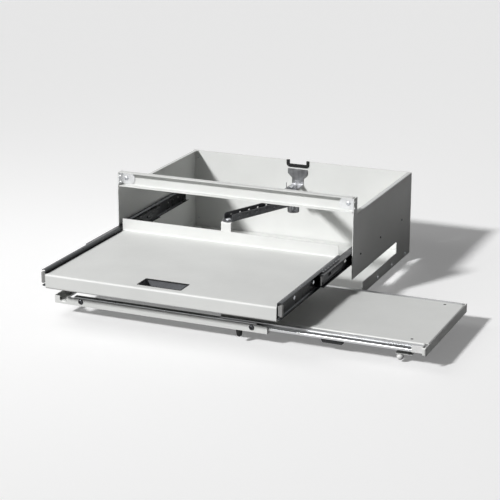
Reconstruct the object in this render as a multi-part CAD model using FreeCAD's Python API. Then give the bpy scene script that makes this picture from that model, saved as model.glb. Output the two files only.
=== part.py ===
import FreeCAD
import Part
import math
import os

from FreeCAD import Vector

# Rack keyboard drawer, drawn out to the front, with its mouse tray drawn out to the right.
# X runs to the right, Y into the rack and Z up. The origin is the middle of the housing's underside.

# Sheet metal
sheet = 1.5
bend = 1.5                      # inside radius of a fold
seat = 0.3                      # gap between pieces that move past each other
fold_margin = 1.0               # flat metal left beside a fold

# Housing, open at the top and the front
house_width = 512.0
house_depth = 368.0
house_height = 177.0
wall_top_flange = 10.0
wall_rear_flange = 22.0
wall_rear_bend = 4.0            # inside radius of the wall's upright rear fold
floor_flange = 12.0
rear_bolt_radius = 3.3
rear_bolt_heights = (77.5, 102.5)
rivet_radius = 1.6
rivet_head_radius = 3.2
rivet_head_height = 1.2
wall_rivet_heights = (20.0, 90.0, 160.0)
floor_rivet_places = (0.42, 0.66, 0.9)      # shares of the housing's depth
floor_rivet_height = 7.0

# Cross rail over the housing's mouth
rail_height = 30.0
rail_depth = 15.0
rail_above_wall = 6.0           # from the wall's top edge to the rail's underside
rail_bracket_length = 32.0
rail_bracket_height = 22.0
rail_screw_inset = 13.5
ear_depth = 20.0
ear_setback = 1.0
ear_bolt_radius = 2.6
ear_bolt_spacing = 12.5
ear_bolt_setback = 7.0

# Cable notch in the back wall and the folding cable arm
arm_x = -4.5
notch_width = 46.0
notch_depth = 12.0
notch_corner = 4.0
edging_lip = 3.5
edging_side = 1.4
edging_inner = 3.0
arm_plate = 2.0
arm_pin_radius = 3.0
arm_pin_play = 0.05
arm_pin_head_radius = 5.5
arm_pin_head_height = 4.2
arm_bracket_width = 21.0
arm_bracket_depth = 24.0
arm_bracket_drop = 36.5         # from the wall's top edge to the bracket's top
arm_bracket_overlap = 20.0      # how far the bracket reaches down behind the tray's rear lip
arm_pivot_setback = 12.0        # from the tray's rear face to the first pivot
arm_wall_pivot_gap = 37.0       # from the back wall to the last pivot
arm_elbow_reach = 72.0          # the elbow's offset to the right when the drawer is out
arm_overrun = 5.0               # degrees the closed arm folds further, which keeps its end off the wall
arm_samples = 40                # places of the drawer at which the arm's end is worked out
link_width = 24.0
link_height = 14.0
link_sheet = 1.2
link_end_round = 5.0            # upper corners of the link's side walls
link_slot_margin = 11.5         # from a pivot to the first slot
link_slot_length = 5.0
link_slot_width = 2.2
link_slot_pitch = 24.5
link_slot_rise = 7.7            # from the link's underside to the slots' middle
wall_bracket_gap = 3.5          # under the notch's edging
wall_bracket_flare = 46.0
wall_bracket_stem = 26.0

# Keyboard tray
tray_depth = 315.0
tray_reach = 335.0              # front edge ahead of the housing when drawn out
tray_top = 97.5
tray_bend = 2.5                 # inside radius of the folds at the tray's front and rear
front_lip = 28.5
rear_lip = 24.5
front_hem = 10.0
grip_x = -4.5
grip_width = 91.0
grip_depth = 40.0
grip_setback = 14.0             # from the tray's front edge
grip_corner = 3.0
cup_depth = 18.0
cup_wall = 1.2
cup_flange = 6.0

# Telescopic slides between the tray and the walls
slide_gap = 20.0
slide_height = 33.5
slide_rise = 8.5                # how far the slide stands above the tray's top
slide_travel = 300.0
rail_sheet = 1.2
rail_bend = 0.8
rail_flange = 8.6
race_radius = 2.1               # inside radius of the ball tracks in the outer rails
lip_gap = 0.2                   # between a ball track's lip and the ball cage
middle_flange = 15.2
middle_web = 1.6
slide_length = 300.0
cabinet_setback = 15.0
drawer_rail_setback = 3.0
middle_lead = 11.0              # ahead of the cabinet rail's front end when closed
ball_diameter = 3.5
ball_play = 0.05
ball_count = 6
ball_pitch = 14.0
cage_sheet = 0.8
cage_width = 5.4
cage_end = 9.0
ball_hole_play = 0.1
screw_radius = 2.0
screw_play = 0.1
screw_head_radius = 4.2
screw_head_height = 2.2
screw_tip = 1.5
head_crown = 0.6                # domed share of a fastener's head height
cabinet_screw_places = (0.1, 0.5, 0.96)     # shares of a slide's length
drawer_screw_places = (0.26, 0.58, 0.9)
cabinet_hole_places = (0.37, 0.71, 0.79, 0.87)
middle_slot_places = (0.16, 0.45, 0.74)
rail_hole_radius = 2.2
middle_slot_length = 14.0
middle_slot_width = 6.0
stop_height = 22.0
stop_length = 7.0
stop_width = 6.0
stop_inset = 3.0                # from the rail's web to the stop's face
stop_foot_setback = 2.5         # from the stop's front to the front of its foot on the web

# Mouse tray, its runners and the carrier under the keyboard tray
carrier_left = -243.0
carrier_right = 198.0
carrier_setback = 45.0          # from the keyboard tray's front edge
carrier_depth = 259.0
carrier_bottom = 26.0
carrier_height = 15.0
carrier_flange = 12.0
carrier_notch_inset = 12.0      # from the carrier's left side to the notch with the bent tab
carrier_notch_width = 15.0
carrier_notch_depth = 9.0
carrier_tab_reach = 8.0
carrier_tab_margin = 3.0        # from the notch's sides to the tab
buffer_inset = 57.5             # from the carrier's right end
buffer_radius = 6.5
buffer_height = 14.5
mouse_top = 46.0
mouse_width = 400.0
mouse_slide_gap = 14.5          # between the carrier's wall and the mouse tray
mouse_slide_height = 13.0
mouse_slide_sheet = 1.0
mouse_slide_flange = 11.0
mouse_slide_bead = 5.0          # turned-down lip along the moving slide's lower edge
mouse_flange_height = 18.5
mouse_flange_corner = 4.0
mouse_end_return = 6.5          # folded-back ends of the end flange
mouse_travel = 292.0
mouse_stop_gap = 0.5
runner_left = -200.0
slide_cap_length = 21.0
slide_cap_face = 1.5
slide_end_gap = 5.0
runner_end_gap = 1.0            # from the fixed runner to the cap of the pushed-in slide
mouse_hole_radius = 2.0
mouse_hole_inset = 35.0
mouse_hole_edge = 14.0
runner_left_screw = 14.5        # from the runner's ends to its screws
runner_right_screw = 9.0
runner_screw_rise = 9.0         # from the carrier's underside
runner_head_radius = 5.0
runner_head_height = 3.2
knob_inset = 55.0
knob_edge = 12.0
knob_radius = 6.5
knob_neck_radius = 3.5
knob_bottom = 4.5
strip_width = 14.0
strip_sheet = 1.2
strip_drop = 25.0
strip_foot = 18.0
strip_reach = 24.0
block_inset = 161.0
block_width = 51.0
block_depth = 9.0
block_drop = 25.5
hanger_length = 170.0
hanger_step = 60.0
hanger_inset = 17.5
hanger_foot = 18.0
rear_hanger_width = 40.0
rear_hanger_spread = 150.0

# Places that follow from the sizes above
front_y = -house_depth / 2
rear_y = house_depth / 2
wall_x = house_width / 2 - sheet
fold = sheet + bend + fold_margin
tray_fold = sheet + tray_bend + fold_margin
back_face = rear_y - 2 * sheet
wall_bend_start = rear_y - sheet - wall_rear_bend
rail_bottom = house_height + rail_above_wall
rail_middle = rail_bottom + rail_height / 2
tray_half = wall_x - slide_gap
tray_front = front_y - tray_reach
tray_rear = tray_front + tray_depth
slide_z = tray_top + slide_rise - slide_height / 2
middle_half = slide_height / 2 - rail_sheet - ball_diameter - 2 * ball_play
ball_z = middle_half + ball_play + ball_diameter / 2
cabinet_front = front_y + cabinet_setback
drawer_rail_front = tray_front + drawer_rail_setback
middle_front = cabinet_front - middle_lead - slide_travel / 2
carrier_front = tray_front + carrier_setback
carrier_rear = carrier_front + carrier_depth
mouse_front = carrier_front + sheet + mouse_slide_gap
mouse_rear = carrier_rear - sheet - mouse_slide_gap
mouse_middle = (mouse_front + mouse_rear) / 2
mouse_right = carrier_right + mouse_stop_gap + mouse_travel + mouse_end_return
mouse_left = mouse_right - mouse_width
mouse_under = mouse_top - sheet
mouse_slide_low = mouse_under - mouse_slide_height
mouse_slide_floor = mouse_slide_low + mouse_slide_bead
knob_x = mouse_right - knob_inset
knob_y = mouse_front + knob_edge
arm_bracket_top = house_height - arm_bracket_drop
wall_bracket_top = house_height - notch_depth - edging_lip - wall_bracket_gap
arm_tray_pivot = tray_rear + arm_pivot_setback
arm_wall_pivot = back_face - arm_wall_pivot_gap
arm_half_span = (arm_wall_pivot - arm_tray_pivot) / 2
link_length = math.hypot(arm_half_span, arm_elbow_reach)
arm_angle_out = math.asin(arm_half_span / link_length)
arm_angle_in = math.asin((arm_half_span - slide_travel / 2) / link_length) - math.radians(arm_overrun)
front_link_z = arm_bracket_top + seat
rear_link_z = front_link_z - link_height - arm_plate - 4 * seat


def box(x, y, z):
    return Part.makeBox(x[1] - x[0], y[1] - y[0], z[1] - z[0], Vector(x[0], y[0], z[0]))


def outline(corners):
    # Closed face through (a, b, radius) corners, with an arc at each corner that has a radius.
    count = len(corners)
    turns = []
    for i, (a, b, radius) in enumerate(corners):
        here = Vector(a, b, 0)
        to_before = Vector(*corners[i - 1][:2], 0) - here
        to_after = Vector(*corners[(i + 1) % count][:2], 0) - here
        to_before.normalize()
        to_after.normalize()
        half = to_before.getAngle(to_after) / 2
        run = radius / math.tan(half)
        middle = here + (to_before + to_after).normalize() * (radius / math.sin(half) - radius)
        turns.append((here + to_before * run, middle, here + to_after * run, radius))
    edges = []
    for i, (start, middle, end, radius) in enumerate(turns):
        if radius > 0:
            edges.append(Part.Arc(start, middle, end).toShape())
        next_start = turns[(i + 1) % count][0]
        if end.distanceToPoint(next_start) > 1e-6:
            edges.append(Part.makeLine(end, next_start))
    return Part.Face(Part.Wire(edges))


def along_x(face, low, high):
    solid = face.extrude(Vector(0, 0, high - low))
    solid.rotate(Vector(0, 0, 0), Vector(1, 1, 1), 120)
    solid.translate(Vector(low, 0, 0))
    return solid


def along_y(face, low, high):
    solid = face.extrude(Vector(0, 0, high - low))
    solid.rotate(Vector(0, 0, 0), Vector(1, 0, 0), 90)
    solid.translate(Vector(0, high, 0))
    return solid


def along_z(face, low, high):
    solid = face.extrude(Vector(0, 0, high - low))
    solid.translate(Vector(0, 0, low))
    return solid


def strip(path, thickness, inside):
    # Section of a folded sheet: the path is one face of it and the metal lies to the path's left.
    steps = []
    for (a, b), (c, d) in zip(path, path[1:]):
        length = math.hypot(c - a, d - b)
        steps.append(((c - a) / length, (d - b) / length))
    right = []
    left = []
    for i, (a, b) in enumerate(path):
        before = steps[max(i - 1, 0)]
        after = steps[min(i, len(steps) - 1)]
        turn = before[0] * after[1] - before[1] * after[0]
        share = thickness / (1 + before[0] * after[0] + before[1] * after[1])
        shift = (-(before[1] + after[1]) * share, (before[0] + after[0]) * share)
        tight = inside if abs(turn) > 1e-9 else 0
        wide = inside + thickness if abs(turn) > 1e-9 else 0
        right.append((a, b, wide if turn > 0 else tight))
        left.append((a + shift[0], b + shift[1], tight if turn > 0 else wide))
    return outline(right + left[::-1])


def rounded(a, b, radius):
    return outline([(a[0], b[0], radius), (a[1], b[0], radius), (a[1], b[1], radius), (a[0], b[1], radius)])


def slot(a, b, length, width):
    return rounded((a - length / 2, a + length / 2), (b - width / 2, b + width / 2), width / 2)


def rod(base, direction, radius, length):
    return Part.makeCylinder(radius, length, base, direction)


def fastener(seat_point, into, head_radius, head_height, shank_radius, shank_length):
    # Domed head on a face, with a plain shank that goes into it.
    crown = head_height * head_crown
    ball = (head_radius ** 2 + crown ** 2) / (2 * crown)
    rim = head_height - crown
    profile = [Vector(0, 0, -shank_length), Vector(shank_radius, 0, -shank_length),
               Vector(shank_radius, 0, 0), Vector(head_radius, 0, 0), Vector(head_radius, 0, rim)]
    edges = [Part.makeLine(p, q) for p, q in zip(profile, profile[1:])]
    half = math.asin(head_radius / ball) / 2
    shoulder = Vector(ball * math.sin(half), 0, head_height - ball + ball * math.cos(half))
    peak = Vector(0, 0, head_height)
    edges.append(Part.Arc(profile[-1], shoulder, peak).toShape())
    edges.append(Part.makeLine(peak, profile[0]))
    solid = Part.Face(Part.Wire(edges)).revolve(Vector(0, 0, 0), Vector(0, 0, 1), 360)
    solid.Placement = FreeCAD.Placement(seat_point, FreeCAD.Rotation(Vector(0, 0, -1), into))
    return solid


def mirrored(shape):
    return shape.mirror(Vector(0, 0, 0), Vector(1, 0, 0))


def across_mouse_tray(shape):
    return shape.mirror(Vector(0, mouse_middle, 0), Vector(0, 1, 0))


def wall_rivet_points():
    return [Vector(wall_x + sheet - wall_rear_flange / 2, rear_y, z) for z in wall_rivet_heights]


def floor_rivet_points():
    return [Vector(wall_x + sheet, front_y + share * house_depth, floor_rivet_height)
            for share in floor_rivet_places]


def rear_bolt_points():
    return [Vector(wall_x + sheet - wall_rear_flange / 2, rear_y, z) for z in rear_bolt_heights]


def ear_bolt_points():
    y = front_y + ear_bolt_setback
    return [Vector(wall_x, y, rail_middle + side * ear_bolt_spacing / 2) for side in (-1, 1)]


def cabinet_screw_points():
    x = wall_x - rail_sheet
    return [Vector(x, cabinet_front + share * slide_length, slide_z) for share in cabinet_screw_places]


def drawer_screw_points():
    x = tray_half + rail_sheet
    return [Vector(x, drawer_rail_front + share * slide_length, slide_z) for share in drawer_screw_places]


# Side wall on the right, folded in along its top and its rear edge, with an ear for the cross rail.
def side_wall():
    outer = wall_x + sheet
    flange_start = front_y + ear_setback + ear_depth + sheet
    corners = [(outer, front_y), (outer, rear_y), (outer - wall_rear_flange, rear_y)]
    plan = strip(corners, sheet, wall_rear_bend)
    wall = along_z(plan, 0, house_height)
    wall = wall.cut(box((wall_x - fold, outer + fold), (flange_start, wall_bend_start),
                        (house_height - fold, house_height + fold)))
    path = [(outer, house_height - fold), (outer, house_height), (outer - wall_top_flange, house_height)]
    wall = wall.fuse(along_y(strip(path, sheet, bend), flange_start, wall_bend_start))
    ear = rounded((front_y + ear_setback, front_y + ear_setback + ear_depth),
                  (house_height - rail_height, rail_bottom + rail_height - sheet), bend)
    wall = wall.fuse(along_x(ear, wall_x, outer)).removeSplitter()
    cuts = [rod(p, Vector(0, -1, 0), rivet_radius + screw_play, sheet) for p in wall_rivet_points()]
    cuts += [rod(p, Vector(-1, 0, 0), rivet_radius + screw_play, sheet) for p in floor_rivet_points()]
    cuts += [rod(p, Vector(0, -1, 0), rear_bolt_radius, sheet) for p in rear_bolt_points()]
    cuts += [rod(p, Vector(1, 0, 0), ear_bolt_radius, sheet) for p in ear_bolt_points()]
    cuts += [rod(p, Vector(1, 0, 0), screw_radius + screw_play, 2 * sheet + rail_sheet)
             for p in cabinet_screw_points()]
    return wall.cut(cuts)


# Way for the drawn-out mouse tray, so that the drawer can be closed with the tray in either place.
def mouse_relief():
    outer = wall_x + sheet
    slack = 2.0 * sheet
    long_way = carrier_rear + slide_travel + slack
    low = mouse_top - mouse_flange_height - slack
    knob_way = knob_y + slide_travel + 2 * strip_width
    relief = box((wall_x - fold, outer + fold), (front_y - slack, long_way), (low, mouse_top + slack))
    return relief.fuse(box((wall_x - fold, outer + fold), (front_y - slack, knob_way),
                           (sheet + bend, mouse_top + slack)))


def back_wall():
    y = (back_face, back_face + sheet)
    half = wall_x - wall_rear_bend
    wall = box((-half, half), y, (0, house_height))
    cuts = [along_y(notch_face(0), y[0] - sheet, y[1] + sheet)]
    for p in wall_rivet_points():
        for x in (p.x, -p.x):
            cuts.append(rod(Vector(x, y[0], p.z), Vector(0, 1, 0), rivet_radius + screw_play, sheet))
    for p in rear_bolt_points():
        for x in (p.x, -p.x):
            cuts.append(rod(Vector(x, y[0], p.z), Vector(0, 1, 0), rear_bolt_radius, sheet))
    return wall.cut(cuts)


def notch_face(grow):
    half = notch_width / 2 + grow
    low = house_height - notch_depth - grow
    high = house_height if grow else house_height + notch_corner
    corner = notch_corner + grow
    return outline([(arm_x - half, high, 0), (arm_x - half, low, corner),
                    (arm_x + half, low, corner), (arm_x + half, high, 0)])


# Rubber edging that is pushed over the notch's edge.
def notch_edging(wall):
    y = (back_face - edging_side, back_face + sheet + edging_side)
    band = along_y(notch_face(edging_lip), *y)
    band = band.cut(along_y(notch_face(-edging_inner), y[0] - sheet, y[1] + sheet))
    return band.cut(wall)


def floor_pan():
    path = [(-wall_x, floor_flange), (-wall_x, 0), (wall_x, 0), (wall_x, floor_flange)]
    pan = along_y(strip(path, sheet, bend), front_y + sheet, wall_bend_start)
    for p in floor_rivet_points():
        for x, way in ((p.x - sheet, -1), (-p.x + sheet, 1)):
            pan = pan.cut(rod(Vector(x, p.y, p.z), Vector(way, 0, 0), rivet_radius + screw_play, sheet))
    return pan


def housing_rivets():
    size = (rivet_head_radius, rivet_head_height, rivet_radius, 2 * sheet)
    right = [fastener(p, Vector(0, -1, 0), *size) for p in wall_rivet_points()]
    right += [fastener(p, Vector(-1, 0, 0), *size) for p in floor_rivet_points()]
    return right + [mirrored(rivet) for rivet in right]


# Channel rail, open to the front.
def front_rail():
    half = wall_x - sheet - seat
    y = (front_y, front_y + rail_depth)
    z = (rail_bottom, rail_bottom + rail_height)
    path = [(y[0], z[0]), (y[1], z[0]), (y[1], z[1]), (y[0], z[1])]
    rail = along_x(strip(path, sheet, bend), -half, half)
    for side in (-1, 1):
        point = Vector(side * (wall_x - rail_screw_inset), y[1] - sheet, rail_middle)
        rail = rail.cut(rod(point, Vector(0, 1, 0), screw_radius + screw_play, sheet))
    return rail


# Angle bracket inside the rail's right end: one leg on the rail's web, one on the wall's ear.
def rail_bracket():
    web = front_y + rail_depth - sheet
    z = (rail_middle - rail_bracket_height / 2, rail_middle + rail_bracket_height / 2)
    path = [(wall_x, front_y + ear_setback), (wall_x, web), (wall_x - rail_bracket_length, web)]
    bracket = along_z(strip(path, sheet, bend / 2), *z)
    tongue = rounded((wall_x - rail_bracket_length, wall_x + rail_bracket_length), z,
                     rail_bracket_height / 2 - sheet)
    bracket = bracket.common(along_y(tongue, front_y, web))
    cuts = [rod(p, Vector(-1, 0, 0), ear_bolt_radius, sheet) for p in ear_bolt_points()]
    cuts.append(rod(Vector(wall_x - rail_screw_inset, web, rail_middle), Vector(0, -1, 0),
                    screw_radius + screw_play, sheet))
    return bracket.cut(cuts)


def rail_screws():
    point = Vector(wall_x - rail_screw_inset, front_y + rail_depth - 2 * sheet, rail_middle)
    screw = fastener(point, Vector(0, 1, 0), screw_head_radius, screw_head_height, screw_radius,
                     2 * sheet + screw_tip)
    return [screw, mirrored(screw)]


# Channel with a ball track in each flange, from its web at web_x to the tracks' lips at lip_x.
def track_channel(web_x, lip_x, start):
    way = 1 if web_x > lip_x else -1
    low = slide_z - way * slide_height / 2
    high = slide_z + way * slide_height / 2
    lip = way * (rail_sheet + race_radius)
    bottom = [(lip_x, low + lip), (lip_x, low), (web_x, low)]
    top = [(web_x, high), (lip_x, high), (lip_x, high - lip)]
    channel = along_y(strip(bottom + top, rail_sheet, race_radius), start, start + slide_length)
    room = ball_z + cage_sheet / 2 + lip_gap
    x = sorted((lip_x, lip_x + lip))
    return channel.cut(box(x, (start, start + slide_length), (slide_z - room, slide_z + room)))


# Outer slide rails: channels that face each other, one on the housing's wall and one on the tray.
def cabinet_rail():
    rail = track_channel(wall_x, wall_x - rail_flange, cabinet_front)
    cuts = [rod(p, Vector(1, 0, 0), screw_radius + screw_play, rail_sheet) for p in cabinet_screw_points()]
    for share in cabinet_hole_places:
        point = Vector(wall_x - rail_sheet, cabinet_front + share * slide_length, slide_z)
        cuts.append(rod(point, Vector(1, 0, 0), rail_hole_radius, rail_sheet))
    return rail.cut(cuts)


def drawer_rail():
    rail = track_channel(tray_half, tray_half + rail_flange, drawer_rail_front)
    return rail.cut([rod(p, Vector(-1, 0, 0), screw_radius + screw_play, rail_sheet)
                     for p in drawer_screw_points()])


def cabinet_rail_screws():
    size = (screw_head_radius, screw_head_height, screw_radius, rail_sheet + sheet + screw_tip)
    right = [fastener(p, Vector(1, 0, 0), *size) for p in cabinet_screw_points()]
    return right + [mirrored(screw) for screw in right]


def drawer_rail_screws():
    size = (screw_head_radius, screw_head_height, screw_radius, rail_sheet + sheet + screw_tip)
    right = [fastener(p, Vector(-1, 0, 0), *size) for p in drawer_screw_points()]
    return right + [mirrored(screw) for screw in right]


# Middle rail: two channels back to back, running on balls in both outer rails.
def middle_rail():
    x = tray_half + slide_gap / 2
    flange = middle_flange / 2
    web = middle_web / 2
    top = middle_half
    under = middle_half - rail_sheet
    half = [(web, under, rail_bend), (flange, under, 0), (flange, top, 0)]
    turned = [(-a, -b, radius) for a, b, radius in half]
    upper = half + [(-a, b, radius) for a, b, radius in half[::-1]]
    lower = turned + [(-a, b, radius) for a, b, radius in turned[::-1]]
    corners = [(x + a, slide_z + b, radius) for a, b, radius in upper + lower]
    rail = along_y(outline(corners), middle_front, middle_front + slide_length)
    cuts = []
    for share in middle_slot_places:
        y = middle_front + share * slide_length
        cuts.append(along_x(slot(y, slide_z, middle_slot_length, middle_slot_width), x - flange, x + flange))
    return rail.cut(cuts)


def cage_middle(rear):
    if rear:
        return (cabinet_front + middle_front + slide_length) / 2
    return (middle_front + drawer_rail_front + slide_length) / 2


def track_x(rear):
    inset = rail_flange - rail_sheet - race_radius
    return wall_x - inset if rear else tray_half + inset


def ball_points(rear):
    y = cage_middle(rear)
    return [Vector(track_x(rear), y + (i - (ball_count - 1) / 2) * ball_pitch, slide_z + side * ball_z)
            for side in (-1, 1) for i in range(ball_count)]


# Ball cages: a strip over and under the middle rail, on the tray's side and on the wall's side.
def ball_cage(rear):
    half = (ball_count - 1) * ball_pitch / 2 + cage_end
    x = (track_x(rear) - cage_width / 2, track_x(rear) + cage_width / 2)
    y = (cage_middle(rear) - half, cage_middle(rear) + half)
    strips = []
    for side in (-1, 1):
        z = slide_z + side * ball_z
        strips.append(box(x, y, (z - cage_sheet / 2, z + cage_sheet / 2)))
    holes = [rod(p - Vector(0, 0, cage_sheet), Vector(0, 0, 1), ball_diameter / 2 + ball_hole_play,
                 2 * cage_sheet) for p in ball_points(rear)]
    return [piece.cut(holes) for piece in strips]


def balls(rear):
    right = [Part.makeSphere(ball_diameter / 2, p) for p in ball_points(rear)]
    return right + [mirrored(ball) for ball in right]


# Stop in the front end of the drawer rail.
def front_stop():
    y = (drawer_rail_front, drawer_rail_front + stop_length)
    web = tray_half + rail_sheet
    x = (web + stop_inset, web + stop_inset + stop_width)
    half = stop_height / 2
    face = along_y(rounded(x, (slide_z - half, slide_z + half), bend), *y)
    foot = box((web, x[0] + bend), (y[0] + stop_foot_setback, y[1]),
               (slide_z - half + bend, slide_z + half - bend))
    return face.fuse(foot).removeSplitter()


# Keyboard tray: lip down at the front, lip up at the rear, flanges down at both sides.
def keyboard_tray():
    path = [(tray_rear - sheet, tray_top + rear_lip), (tray_rear - sheet, tray_top), (tray_front, tray_top),
            (tray_front, tray_top - front_lip), (tray_front + front_hem, tray_top - front_lip)]
    tray = along_x(strip(path, sheet, tray_bend), -tray_half, tray_half)
    y = (tray_front + tray_fold, tray_rear - tray_fold)
    z = (tray_top - 2 * fold, tray_top + fold)
    tray = tray.cut([box((tray_half - fold, tray_half + fold), y, z),
                     box((-tray_half - fold, -tray_half + fold), y, z)])
    low = tray_top - front_lip
    sides = [(tray_half, low), (tray_half, tray_top), (-tray_half, tray_top), (-tray_half, low)]
    tray = tray.fuse(along_y(strip(sides, sheet, bend), *y)).removeSplitter()
    cuts = [along_z(grip_face(0), tray_top - fold, tray_top + fold)]
    for p in drawer_screw_points():
        for x, way in ((tray_half, -1), (-tray_half, 1)):
            cuts.append(rod(Vector(x, p.y, p.z), Vector(way, 0, 0), screw_radius + screw_play, sheet))
    return tray.cut(cuts)


def grip_face(grow):
    y = tray_front + grip_setback
    return rounded((grip_x - grip_width / 2 - grow, grip_x + grip_width / 2 + grow),
                   (y - grow, y + grip_depth + grow), grip_corner + grow)


def grip_cup():
    top = tray_top - sheet
    cup = along_z(grip_face(cup_flange), top - cup_wall, top)
    cup = cup.fuse(along_z(grip_face(cup_wall), top - cup_depth, top))
    return cup.cut(along_z(grip_face(0), top - cup_depth + cup_wall, top + sheet))


# Three-sided frame under the tray, open to the right, in which the mouse tray runs.
def mouse_carrier():
    path = [(carrier_right, carrier_rear), (carrier_left, carrier_rear),
            (carrier_left, carrier_front), (carrier_right, carrier_front)]
    walls = along_z(strip(path, sheet, bend), carrier_bottom, carrier_bottom + carrier_height)
    floor = along_z(strip(path, carrier_flange, bend), carrier_bottom, carrier_bottom + sheet)
    frame = walls.fuse(floor).removeSplitter()
    cuts = [rod(p, Vector(0, 1 if p.y < mouse_middle else -1, 0), screw_radius + screw_play, sheet)
            for p in runner_screw_points()]
    cuts.append(rod(buffer_point(), Vector(0, 0, 1), screw_radius + screw_play, sheet))
    left = carrier_left + carrier_notch_inset
    right = left + carrier_notch_width
    top = carrier_bottom + carrier_height
    low = top - carrier_notch_depth
    notch = outline([(left, top + sheet, 0), (left, low, bend), (right, low, bend), (right, top + sheet, 0)])
    cuts.append(along_y(notch, carrier_front - sheet, carrier_front + 2 * sheet))
    tab_path = [(carrier_front + carrier_tab_reach, low), (carrier_front, low), (carrier_front, low - fold)]
    tab_x = (left + carrier_tab_margin, right - carrier_tab_margin)
    tab = along_x(strip(tab_path, sheet, bend), *tab_x)
    cuts.append(box(tab_x, (carrier_front, carrier_front + sheet), (low - fold, low)))
    return frame.cut(cuts).fuse(tab).removeSplitter()


def buffer_point():
    return Vector(carrier_right - buffer_inset, carrier_front + carrier_flange / 2, carrier_bottom)


# Rubber buffer under the carrier's floor.
def carrier_buffer():
    size = (buffer_radius, buffer_height, screw_radius, sheet + screw_tip)
    return fastener(buffer_point(), Vector(0, 0, 1), *size)


def runner_screw_points():
    z = carrier_bottom + runner_screw_rise
    points = []
    for x in (runner_left + runner_left_screw, runner_right() - runner_right_screw):
        points.append(Vector(x, carrier_front, z))
        points.append(Vector(x, carrier_rear, z))
    return points


def runner_right():
    return mouse_right - sheet - slide_end_gap - slide_cap_length - mouse_travel - runner_end_gap


# Fixed runner on the carrier's front wall, with a hooked edge that lies in the moving slide.
def front_runner():
    y = (carrier_front + sheet, carrier_front + sheet + mouse_slide_flange)
    top = mouse_under - mouse_slide_sheet - seat
    path = [(y[1], mouse_slide_floor + seat), (y[1], top), (y[0], top), (y[0], carrier_bottom + fold)]
    runner = along_x(strip(path, mouse_slide_sheet, rail_bend), runner_left, runner_right())
    return runner.cut([rod(p, Vector(0, 1, 0), screw_radius + screw_play, sheet + mouse_slide_sheet)
                       for p in runner_screw_points() if p.y < mouse_middle])


def runner_screws():
    size = (runner_head_radius, runner_head_height, screw_radius, sheet + mouse_slide_sheet + screw_tip)
    return [fastener(p, Vector(0, 1 if p.y < mouse_middle else -1, 0), *size) for p in runner_screw_points()]


# Moving channel on the mouse tray's front flange, round the runner's hooked edge.
def front_mouse_slide():
    y = (mouse_front - mouse_slide_flange, mouse_front)
    lip = y[0] + mouse_slide_sheet
    low = mouse_slide_floor - mouse_slide_sheet
    path = [(lip, mouse_slide_low), (lip, low), (y[1], low), (y[1], mouse_under), (y[0], mouse_under)]
    return along_x(strip(path, mouse_slide_sheet, rail_bend), mouse_left + slide_end_gap,
                   mouse_right - sheet - slide_end_gap)


def front_slide_cap():
    right = mouse_right - sheet - slide_end_gap
    x = (right - slide_cap_length, right)
    tip = mouse_front - mouse_slide_flange
    inside = (mouse_slide_floor, mouse_under - mouse_slide_sheet)
    plug = box(x, (tip, mouse_front - mouse_slide_sheet), inside)
    face = along_y(rounded(x, (mouse_slide_low, mouse_under), bend), tip - slide_cap_face, tip)
    plug = plug.cut(front_mouse_slide())
    return plug.fuse(face)


# Mouse tray: flanges down at the front, the rear and the left, and a wide end flange on the right.
def mouse_plate():
    low = mouse_slide_low
    path = [(mouse_rear, low), (mouse_rear, mouse_top), (mouse_front, mouse_top), (mouse_front, low)]
    plate = along_x(strip(path, sheet, bend), mouse_left + fold, mouse_right - 2 * fold)
    y = (mouse_front + fold, mouse_rear - fold)
    bottom = mouse_top - mouse_flange_height
    left = [(mouse_left + 2 * fold, mouse_top), (mouse_left, mouse_top), (mouse_left, low)]
    right = [(mouse_right, bottom), (mouse_right, mouse_top), (mouse_right - 3 * fold, mouse_top)]
    plate = plate.fuse(along_y(strip(left, sheet, bend), *y))
    plate = plate.fuse(along_y(strip(right, sheet, bend), *y))
    inner = mouse_right - mouse_end_return
    plan = [(inner, carrier_front), (mouse_right, carrier_front),
            (mouse_right, carrier_rear), (inner, carrier_rear)]
    end = rounded((carrier_front, carrier_rear), (bottom, mouse_top - bend), mouse_flange_corner)
    end = along_z(strip(plan, sheet, bend), bottom, mouse_top - bend).common(along_x(end, inner, mouse_right))
    plate = plate.fuse(end).removeSplitter()
    holes = []
    for y in (mouse_front + mouse_hole_edge, mouse_rear - mouse_hole_edge):
        point = Vector(mouse_right - mouse_hole_inset, y, mouse_under)
        holes.append(rod(point, Vector(0, 0, 1), mouse_hole_radius, sheet))
    return plate.cut(holes)


# Bent strip under the mouse tray that carries the pull knob.
def knob_strip():
    low = mouse_under - strip_drop
    turn = knob_x + strip_reach
    path = [(turn + strip_foot, mouse_under), (turn, mouse_under), (turn, low),
            (knob_x - strip_width / 2, low)]
    return along_y(strip(path, strip_sheet, bend), knob_y - strip_width / 2, knob_y + strip_width / 2)


def pull_knob():
    top = mouse_under - strip_drop - strip_sheet
    ball = Part.makeSphere(knob_radius, Vector(knob_x, knob_y, knob_bottom + knob_radius))
    neck = rod(Vector(knob_x, knob_y, knob_bottom + knob_radius), Vector(0, 0, 1), knob_neck_radius,
               top - knob_bottom - knob_radius)
    return ball.fuse(neck).removeSplitter()


def stop_block():
    x = mouse_right - block_inset
    low = mouse_under - block_drop
    corners = [(x, low, bend), (x, mouse_under, 0), (x - block_width, mouse_under, 0),
               (x - block_width + block_drop / 2, low, bend)]
    return along_y(outline(corners), mouse_front + 2 * sheet, mouse_front + 2 * sheet + block_depth)


# Folded hangers that carry the frame from the tray's underside.
def left_hanger():
    side = carrier_left + sheet
    step = side + hanger_inset
    under = tray_top - sheet
    path = [(step + hanger_foot, under), (step, under), (step, hanger_step), (side, hanger_step),
            (side, carrier_bottom + 2 * sheet)]
    face = strip(path, sheet, bend)
    return along_y(face, mouse_middle - hanger_length / 2, mouse_middle + hanger_length / 2)


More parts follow.
